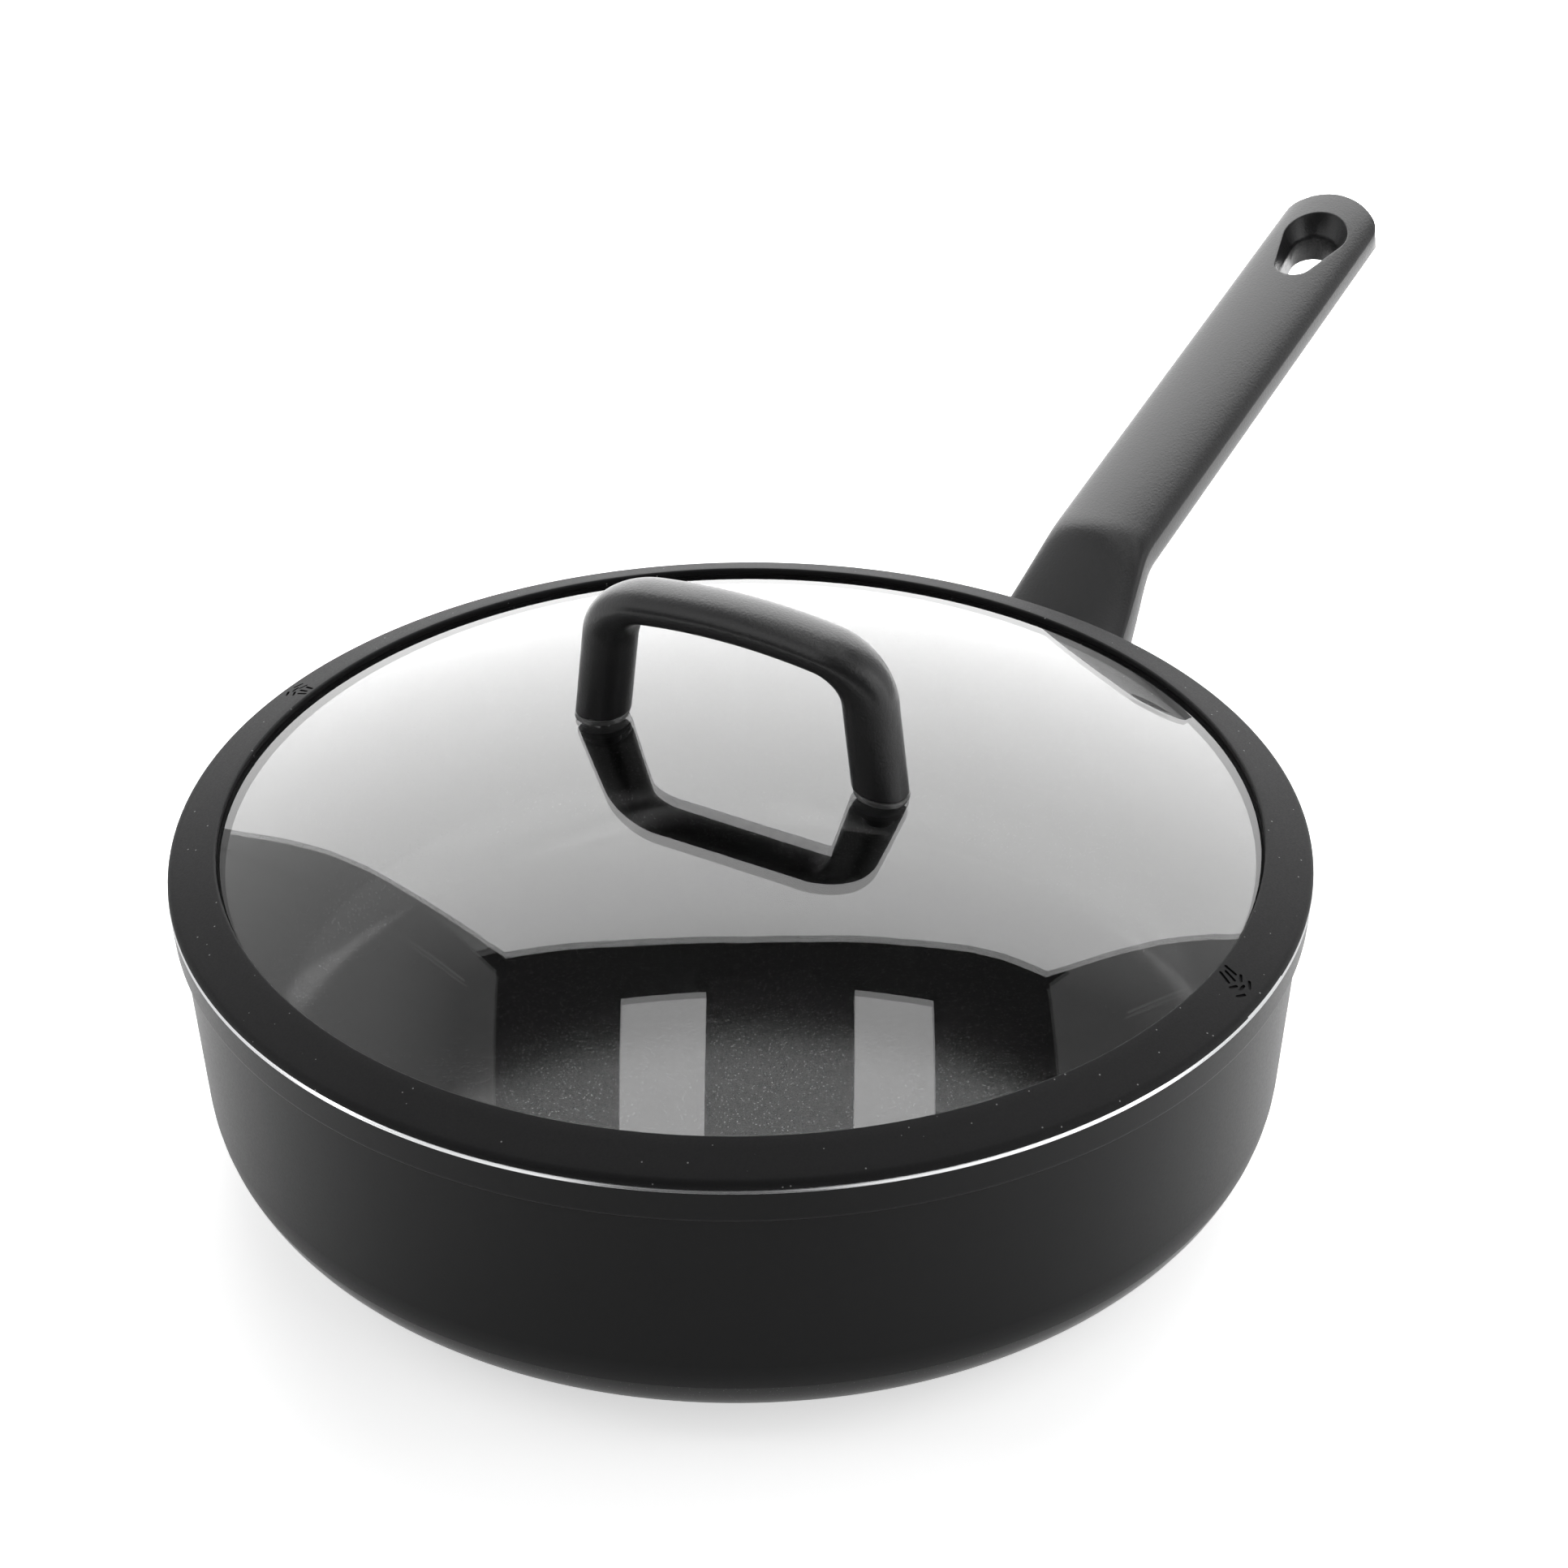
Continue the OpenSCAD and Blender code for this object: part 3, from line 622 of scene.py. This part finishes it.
def dash(length, place):
    """A dash with round ends that lies along X of place and is sunk by its depth. The length
    is from the middle of one end to the middle of the other."""
    bm = bmesh.new()
    bmesh.ops.create_cone(bm, cap_ends=True, segments=DASH_SIDES, radius1=DASH_W / 2,
                          radius2=DASH_W / 2, depth=2 * DASH_DEPTH)
    for v in bm.verts:
        v.co.x += length / 2 * (1 if v.co.x > 0 else -1)
    bmesh.ops.transform(bm, matrix=place, verts=bm.verts)
    return bm


def rim_cutters(side):
    """Drain notch and strainer slots, in line with a foot."""
    turn = Matrix.Rotation(LID_TURN + side * pi / 2, 4, "Z")
    notch = block((SKIRT_R - SKIRT_T / 2, -NOTCH_W / 2, SEAT_Z - SKIRT_H / 2),
                  (SKIRT_R + RIM_T + SKIRT_T / 2, NOTCH_W / 2, SEAT_Z + NOTCH_H))
    slots = [block((SKIRT_R - 2 * SKIRT_T, y - SLOT_W / 2, SEAT_Z - SKIRT_H - 1),
                   (SKIRT_R + 1, y + SLOT_W / 2, SEAT_Z - SKIRT_H / 2))
             for y in ((i + 0.5) * NOTCH_W / SLOT_COUNT - NOTCH_W / 2 for i in range(SLOT_COUNT))]
    cutters = [notch] + slots
    for bm in cutters:
        bmesh.ops.transform(bm, matrix=turn, verts=bm.verts)
    return cutters


CREST = Vector((LIP_R + CREST_ROUND, PAN_H + CREST_H - CREST_ROUND))
SHOULDER = Vector((RIM_R - FIT - SHOULDER_R, SEAT_Z + FIT))
TOP_A = (atan2(SHOULDER.y - CREST.y, SHOULDER.x - CREST.x)
         + acos((CREST_ROUND - SHOULDER_R) / (SHOULDER - CREST).length))


def on_ring(r, y):
    """Frame on the sloping top of the rim, in line with +X."""
    z = CREST.y + CREST_ROUND * sin(TOP_A) - (r - CREST.x - CREST_ROUND * cos(TOP_A)) / tan(TOP_A)
    return Matrix.Translation((r, y, z)) @ Matrix.Rotation(pi / 2 - TOP_A, 4, "Y")


DRAIN_SIGN = (((132.6, -0.2), (135.6, -0.8)), ((133.4, -1.8), (136.3, -2.9)),
              ((132.6, -3.2), (135.6, -4.7)), ((136.6, -0.1), (137.5, -1.9)),
              ((136.5, -5.9), (137.4, -4.3)), ((138.6, -2.8), (138.5, -4.6)),
              ((139.0, -0.4), (140.0, -2.4)), ((138.9, -7.2), (140.0, -5.4)))


def sign_cutters(side):
    """Plain drain sign cut into the rim's top: three jets, and five drops beyond them. Each
    dash has its ends as radius and distance round the rim."""
    turn = Matrix.Rotation(LID_TURN + side * pi / 2, 4, "Z")
    dashes = []
    for (r1, y1), (r2, y2) in DRAIN_SIGN:
        lie = Matrix.Rotation(atan2(y2 - y1, r2 - r1), 4, "Z")
        dashes.append(dash(hypot(r2 - r1, y2 - y1),
                           turn @ on_ring((r1 + r2) / 2, (y1 + y2) / 2) @ lie))
    return dashes


def silicone_ring():
    """One profile that grips the glass's edge, seats on the pan and hangs a skirt in it."""
    out_r = RIM_R - FIT
    skirt_z = SEAT_Z - SKIRT_H
    in_r = GLASS_R - UNDER_COVER
    under_r = DOME_R - GLASS_T
    outline = [(LIP_R, sphere_z(LIP_R, DOME_R) + FIT)]
    outline += arc(CREST, CREST_ROUND, 180, degrees(TOP_A), 6)
    outline += [tuple(CREST.lerp(SHOULDER, part) + Vector((cos(TOP_A), sin(TOP_A)))
                      * mix(CREST_ROUND, SHOULDER_R, part)) for part in (0.25, 0.5, 0.75)]
    outline += arc(SHOULDER, SHOULDER_R, degrees(TOP_A), 0, 10)
    outline += [(out_r, SEAT_Z), (SKIRT_R, SEAT_Z), (SKIRT_R - SKIRT_TAPER, skirt_z),
                (SKIRT_R - SKIRT_TAPER - SKIRT_T, skirt_z),
                (GLASS_R - FIT, sphere_z(GLASS_R, under_r) - FIT - UNDER_T),
                (in_r, sphere_z(in_r, under_r) - FIT - UNDER_T),
                (in_r, sphere_z(in_r, under_r) - FIT),
                (GLASS_R + FIT, sphere_z(GLASS_R, under_r) - FIT),
                (GLASS_R + FIT, sphere_z(GLASS_R, DOME_R) + FIT)]
    ring = as_object(spun(held(outline)), "silicone_ring")
    cut(ring, [c for side in (-1, 1) for c in rim_cutters(side) + sign_cutters(side)])
    return ring


finished(silicone_ring(), "lid", [SILICONE], ["silicone_rim"], sharp=40)

FOOT_TOP_Z = sphere_z(FOOT_U, DOME_R)
LOOP_TOP_Z = DOME_Z + DOME_R + LOOP_H
ARCH_R = ((FOOT_U + LOOP_CORNER_R * (sin(ARCH) - cos(LEG_LEAN))
           - (LOOP_TOP_Z - LOOP_CORNER_R * (cos(ARCH) - sin(LEG_LEAN)) - FOOT_TOP_Z)
           * tan(LEG_LEAN)) / (sin(ARCH) - (1 - cos(ARCH)) * tan(LEG_LEAN)))
CORNER_U = (ARCH_R - LOOP_CORNER_R) * sin(ARCH)
CORNER_Z = LOOP_TOP_Z - ARCH_R + (ARCH_R - LOOP_CORNER_R) * cos(ARCH)
LEG_TOP = (CORNER_U + LOOP_CORNER_R * cos(LEG_LEAN), CORNER_Z + LOOP_CORNER_R * sin(LEG_LEAN))
LEG_L = ((LEG_TOP[1] - FOOT_TOP_Z) / cos(LEG_LEAN) + LEG_W * sin(LEG_LEAN + FOOT_TILT))
LEG_SHARE, CORNER_SHARE, LEG_POWER, BAR_POWER, FOOT_ROUND = 0.28, 0.72, 2.2, 3, 0.5


def loop_place(s):
    """Place, turn and share of the way from leg to grip, from a foot to the top."""
    if s < LEG_SHARE:
        down = LEG_L * (1 - s / LEG_SHARE)
        return (LEG_TOP[0] + down * sin(LEG_LEAN), LEG_TOP[1] - down * cos(LEG_LEAN), LEG_LEAN, 0)
    if s < CORNER_SHARE:
        part = (s - LEG_SHARE) / (CORNER_SHARE - LEG_SHARE)
        a = mix(LEG_LEAN, pi / 2 - ARCH, part)
        return (CORNER_U + LOOP_CORNER_R * cos(a), CORNER_Z + LOOP_CORNER_R * sin(a), a, part)
    a = mix(pi / 2 - ARCH, pi / 2, (s - CORNER_SHARE) / (1 - CORNER_SHARE))
    return (ARCH_R * cos(a), LOOP_TOP_Z - ARCH_R * (1 - sin(a)), a, 1)


def loop_surface(t, s):
    """The section grows from leg to grip. The grip is oval above and squarer below."""
    side = 1 if s < 0.5 else -1
    u, z, a, part = loop_place(1 - abs(2 * s - 1))
    grown = (1 - cos(pi * part)) / 2
    out, along = cos(FULL_TURN * t), sin(FULL_TURN * t)
    power = mix(LEG_POWER, BAR_POWER if out < 0 else 2, grown)
    across = mix(LEG_W, BAR_T, grown) / 2 * soft(out, power)
    depth = mix(LEG_D, BAR_D, grown) / 2 * soft(along, power)
    return Vector((depth, side * (u + across * cos(a)), z + across * sin(a)))


def loop_handle():
    """The swept form, cut off flat over each pad, with rounded foot edges."""
    bm = wrapped(loop_surface, *LOOP_GRID)
    bmesh.ops.transform(bm, matrix=Matrix.Rotation(LID_TURN, 4, "Z"), verts=bm.verts)
    for side in (-1, 1):
        place = at_foot(side)
        verts = [v for v in bm.verts if side * v.co.y > 0]
        faces = {f for v in verts for f in v.link_faces}
        edges = {e for f in faces for e in f.edges}
        bmesh.ops.bisect_plane(bm, geom=verts + list(edges) + list(faces),
                               plane_co=place @ Vector((0, 0, GASKET_T + FIT)),
                               plane_no=place.to_3x3() @ Vector((0, 0, -1)), clear_outer=True)
        rim = [e for e in bm.edges if e.is_boundary]
        bmesh.ops.holes_fill(bm, edges=rim, sides=0)
    # Only the flat face that closes a foot has more corners than this
    many = 8
    foot_edges = [e for e in bm.edges if len(e.link_faces) == 2 and e.calc_face_angle(0) > 1
                  and max(len(f.verts) for f in e.link_faces) > many]
    bmesh.ops.bevel(bm, geom=foot_edges, offset=FOOT_ROUND, offset_type="OFFSET", segments=3,
                    profile=0.5, affect="EDGES", material=-1)
    return as_object(bm, "loop_handle")


finished(loop_handle(), "lid", [PLASTIC], ["lid_handle"], sharp=40)


def foot_gasket(side, name):
    """Clear pad under a foot, with soft edges."""
    def surface(t, s):
        inset = FOOT_ROUND * (1 - bulge(2 * s - 1, 2))
        x = (LEG_D / 2 - inset) * soft(cos(FULL_TURN * t), LEG_POWER)
        y = (LEG_W / 2 - inset) * soft(sin(FULL_TURN * t), LEG_POWER)
        return at_foot(side) @ Vector((x, y, mix(FIT, GASKET_T, s)))
    return as_object(wrapped(surface, *PAD_GRID), name)


for side, name in ((-1, "left"), (1, "right")):
    pad = foot_gasket(side, name + "_pad")
    finished(pad, "lid", [GASKET], [name + "_gasket"], sharp=60)

for node, finish in {
        "induction_plate": PLATE, "handle_boss": ALUMINIUM, "handle_screw": STEEL,
        "handle_washer": STEEL, "left_insert": BRASS, "right_insert": BRASS,
        "left_lid_screw": DARK_STEEL, "right_lid_screw": DARK_STEEL, "left_washer": DARK_STEEL,
        "right_washer": DARK_STEEL, "left_seal": SILICONE, "right_seal": SILICONE}.items():
    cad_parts[node].data.materials.clear()
    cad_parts[node].data.materials.append(finish)

# Camera: solved from the photograph, in metres

CAMERA_AT = Vector((-0.7219, -0.4688, 0.6328))
CAMERA_LOOK = Vector((0.71786, 0.45331, -0.5284))
CAMERA_ROLL = -0.0067
LENS, SENSOR = 93.17, 36


def set_camera():
    camera = bpy.data.objects.new("camera", bpy.data.cameras.new("camera"))
    camera.data.lens = LENS
    camera.data.sensor_width = SENSOR
    camera.data.clip_end = 50
    right = CAMERA_LOOK.cross(Vector((0, 0, 1))).normalized()
    up = right.cross(CAMERA_LOOK).normalized()
    rolled = right * cos(CAMERA_ROLL) + up * sin(CAMERA_ROLL)
    upright = up * cos(CAMERA_ROLL) - right * sin(CAMERA_ROLL)
    camera.matrix_world = Matrix.Translation(CAMERA_AT) @ Matrix(
        (rolled, upright, -CAMERA_LOOK)).transposed().to_4x4()
    bpy.context.scene.collection.objects.link(camera)
    bpy.context.scene.camera = camera


set_camera()

# Studio, in metres along the camera's right, forward and up: a bright screen behind the pan,
# two strips under a dark ceiling, a grey wall and a lamp on each side, and cards in front.
# Only the pan's reflections and its light come from them.

FORWARD = Vector((CAMERA_LOOK.x, CAMERA_LOOK.y, 0)).normalized()
RIGHT = FORWARD.cross(Vector((0, 0, 1)))
STUDIO = Matrix((RIGHT, FORWARD, Vector((0, 0, 1)))).transposed().to_4x4()
CEILING, SCREEN_AT, LEFT_WALL, RIGHT_WALL, FRONT, CAMERA_SIDE = 1.1, 0.58, -0.47, 0.66, -0.4, -1.3
ROOM_H, LAMP_AT, LAMP_H, LAMP_FRONT, LAMP_BACK = 1.2, 0.9, 0.9, -0.2, 0.6
LOW_LAMP_H, DARK_Z, WALL_FRONT, FRONT_END, CAMERA_WALL = 0.35, 0.99, -0.1, (-0.7, 0.2), 2
STRIP_GLOW, CEILING_GLOW, ROOM_GLOW = 2.7, 0.04, 0.12
LEFT_LAMP_GLOW, RIGHT_LAMP_GLOW, FRONT_CEILING_GLOW, FRONT_TOP_GLOW = 4, 4, 0.14, 1.2
LOW_LAMP_GLOW = 8
LEFT_FRONT_GLOW = ((0.4, 0.05), (0.7, 1))
RIGHT_FRONT_GLOW = ((0.4, 1.2), (0.7, 1.8))
SCREEN_GLOW = ((0, 2.5), (0.35, 3.4), (0.7, 3.8), (0.95, 3.5), (1.08, 3.1))
WALL_GLOW = ((0.3, 0.95), (0.8, 0.7), (1.1, 0.4))
MOST_GLOW, FLOOR_GLOW, FLOOR_GLOSS = 4, 0.61, 0.25
FLOOR_REACH, LAMPS_FADE, LAMPS_END = 20, 0.5, 1.1
GAP = 0.004
SCREEN_LEFT = [(-0.460, 0), (-0.450, 0.2), (-0.437, 0.34), (-0.424, 0.42), (-0.414, 0.49),
               (-0.406, 0.58), (-0.400, 0.69), (-0.391, 0.81), (-0.380, 0.95), (-0.372, 1.02)]
SCREEN_TOP = [(-0.274, 1.040), (-0.201, 1.062), (-0.126, 1.075), (0, 1.084), (0.100, 1.071),
              (0.173, 1.053), (0.248, 1.040), (0.345, 1.016), (0.399, 1.017)]
SCREEN_RIGHT = [(0.478, 1.040), (0.491, 0.989), (0.505, 0.921), (0.517, 0.859), (0.541, 0.748),
                (0.568, 0.658), (0.581, 0.627), (0.62, 0.4), (0.65, 0)]
DARK_LEFT, DARK_RIGHT = (-0.41, -0.375), (0.503, 0.52)
STRIPS = ((-0.195, -0.062, -0.190, -0.065, 0.432), (0.168, 0.294, 0.158, 0.288, 0.449))


def panel(name, corners, glow, lights=False):
    """A flat glowing card, which the camera doesn't see. Its glow is one number, or pairs of
    height and glow. Only a card that lights is seen by matt surfaces."""
    bm = bmesh.new()
    bmesh.ops.contextual_create(bm, geom=[bm.verts.new(STUDIO @ Vector(c)) for c in corners])
    card = as_object(bm, name)
    finish, tree = bare_finish(name)
    if isinstance(glow, tuple):
        place = add(tree, "ShaderNodeTexCoord").outputs["Object"]
        height = add(tree, "ShaderNodeSeparateXYZ", links={0: place}).outputs["Z"]
        share = add(tree, "ShaderNodeMath", {"operation": "DIVIDE", 1: ROOM_H}, {0: height})
        ramp = add(tree, "ShaderNodeValToRGB", links={0: share.outputs[0]})
        for _ in glow[2:]:
            ramp.color_ramp.elements.new(0.5)
        for stop, (z, strength) in zip(ramp.color_ramp.elements, glow):
            stop.position = z / ROOM_H
            stop.color = [strength / MOST_GLOW] * 3 + [1]
        light = add(tree, "ShaderNodeEmission", {"Strength": MOST_GLOW},
                    {"Color": ramp.outputs[0]})
    else:
        light = add(tree, "ShaderNodeEmission", {"Strength": glow})
    add(tree, "ShaderNodeOutputMaterial", links={"Surface": light.outputs[0]})
    card.data.materials.append(finish)
    card.visible_camera = False
    card.visible_diffuse = lights
    return card


def on_back(points, behind=0):
    """Points across and up on the screen's plane, or a little behind it."""
    return [(x, SCREEN_AT + behind, z) for x, z in points]


def overhead(points, above=0):
    """Points across and forward at the ceiling's height, or a little above it."""
    return [(x, y, CEILING + above) for x, y in points]


panel("screen", on_back(SCREEN_LEFT + SCREEN_TOP + SCREEN_RIGHT), SCREEN_GLOW, True)
# Lights the floor, so that the pan's shadow falls to the front
low_lamp = panel("low_lamp", on_back([(-LAMP_AT, 0), (LAMP_AT, 0), (LAMP_AT, LOW_LAMP_H),
                                      (-LAMP_AT, LOW_LAMP_H)], -GAP), LOW_LAMP_GLOW, True)
low_lamp.visible_glossy = low_lamp.visible_transmission = False
panel("dark_over_screen", on_back([(DARK_LEFT[0], DARK_Z), (DARK_RIGHT[0], DARK_Z),
                                   (DARK_RIGHT[0], ROOM_H), (DARK_LEFT[0], ROOM_H)], GAP),
      CEILING_GLOW)
panel("ceiling", overhead([(DARK_LEFT[0], SCREEN_AT), (DARK_RIGHT[0], SCREEN_AT),
                           (DARK_RIGHT[1], FRONT), (DARK_LEFT[1], FRONT)]), CEILING_GLOW)
panel("front_ceiling", overhead([(DARK_LEFT[1], FRONT), (DARK_RIGHT[1], FRONT),
                                 (FRONT_END[1], CAMERA_SIDE), (FRONT_END[0], CAMERA_SIDE)]),
      FRONT_CEILING_GLOW)
panel("front_top", overhead([(-LAMP_AT, LAMP_FRONT), (LAMP_AT, LAMP_FRONT),
                             (LAMP_AT, CAMERA_SIDE), (-LAMP_AT, CAMERA_SIDE)], 2 * GAP),
      FRONT_TOP_GLOW)
panel("camera_side", [(-CAMERA_WALL, CAMERA_SIDE, 0), (CAMERA_WALL, CAMERA_SIDE, 0),
                      (CAMERA_WALL, CAMERA_SIDE, ROOM_H), (-CAMERA_WALL, CAMERA_SIDE, ROOM_H)],
      CEILING_GLOW)
for name, x, lamp_glow, front_glow in (
        ("left", -LAMP_AT, LEFT_LAMP_GLOW, LEFT_FRONT_GLOW),
        ("right", LAMP_AT, RIGHT_LAMP_GLOW, RIGHT_FRONT_GLOW)):
    panel(name + "_lamp", [(x, LAMP_FRONT, 0), (x, LAMP_BACK, 0), (x, LAMP_BACK, LAMP_H),
                           (x, LAMP_FRONT, LAMP_H)], lamp_glow, True)
    panel(name + "_front", [(x, CAMERA_SIDE, 0), (x, LAMP_FRONT, 0), (x, LAMP_FRONT, ROOM_H),
                            (x, CAMERA_SIDE, ROOM_H)], front_glow, True)
for name, wall, inner in (("left", LEFT_WALL, DARK_LEFT[0]),
                          ("right", RIGHT_WALL, DARK_RIGHT[0])):
    panel(name + "_wall", [(wall, WALL_FRONT, 0), (wall, SCREEN_AT, 0),
                           (wall, SCREEN_AT, ROOM_H), (wall, WALL_FRONT, ROOM_H)], WALL_GLOW)
    panel(name + "_back", on_back([(wall, 0), (inner, 0), (inner, ROOM_H), (wall, ROOM_H)],
                                  2 * GAP), WALL_GLOW)
    panel(name + "_top", overhead([(wall, SCREEN_AT), (0, SCREEN_AT), (0, LAMP_FRONT),
                                   (wall, LAMP_FRONT)], GAP), WALL_GLOW)
for i, (a, b, c, d, back) in enumerate(STRIPS):
    panel("strip_%d" % i, overhead([(a, back), (b, back), (d, FRONT), (c, FRONT)], -GAP),
          STRIP_GLOW, True)


def floor():
    """White floor that keeps a soft shadow. Beyond the lamps' reach it glows more, so that it
    stays white up to the horizon."""
    bm = bmesh.new()
    bmesh.ops.create_grid(bm, x_segments=1, y_segments=1, size=FLOOR_REACH)
    plane = as_object(bm, "floor")
    finish, tree = bare_finish("white_floor")
    place = add(tree, "ShaderNodeTexCoord").outputs["Object"]
    away = add(tree, "ShaderNodeVectorMath", {"operation": "LENGTH"}, {0: place})
    own = add(tree, "ShaderNodeMapRange",
              {"From Min": LAMPS_FADE, "From Max": LAMPS_END, "To Min": FLOOR_GLOW, "To Max": 1},
              {"Value": away.outputs["Value"]})
    direct = add(tree, "ShaderNodeMath", {"operation": "MULTIPLY"}, {
        0: seen_by(tree, "Is Camera Ray", "Is Transmission Ray"), 1: own.outputs[0]})
    glow = add(tree, "ShaderNodeMath", {"operation": "MULTIPLY_ADD", 1: FLOOR_GLOSS},
               {0: seen_by(tree, "Is Glossy Ray"), 2: direct.outputs[0]})
    white = add(tree, "ShaderNodeEmission", links={"Strength": glow.outputs[0]})
    matt = add(tree, "ShaderNodeBsdfDiffuse", {"Color": colour("#e6e6e6")})
    both = add(tree, "ShaderNodeAddShader", links={0: white.outputs[0], 1: matt.outputs[0]})
    add(tree, "ShaderNodeOutputMaterial", links={"Surface": both.outputs[0]})
    plane.data.materials.append(finish)


floor()


def room_light():
    """White for the camera and for gloss, plain and low for the rest."""
    world = bpy.data.worlds.new("room")
    world.use_nodes = True
    tree = world.node_tree
    tree.nodes.clear()
    strength = add(tree, "ShaderNodeMapRange", {"To Min": ROOM_GLOW, "To Max": 1}, {
        "Value": seen_by(tree, "Is Camera Ray", "Is Transmission Ray", "Is Glossy Ray")})
    light = add(tree, "ShaderNodeBackground", links={"Strength": strength.outputs[0]})
    add(tree, "ShaderNodeOutputWorld", links={"Surface": light.outputs[0]})
    bpy.context.scene.world = world


room_light()
bpy.context.scene.view_settings.view_transform = "Standard"

bpy.context.view_layer.update()
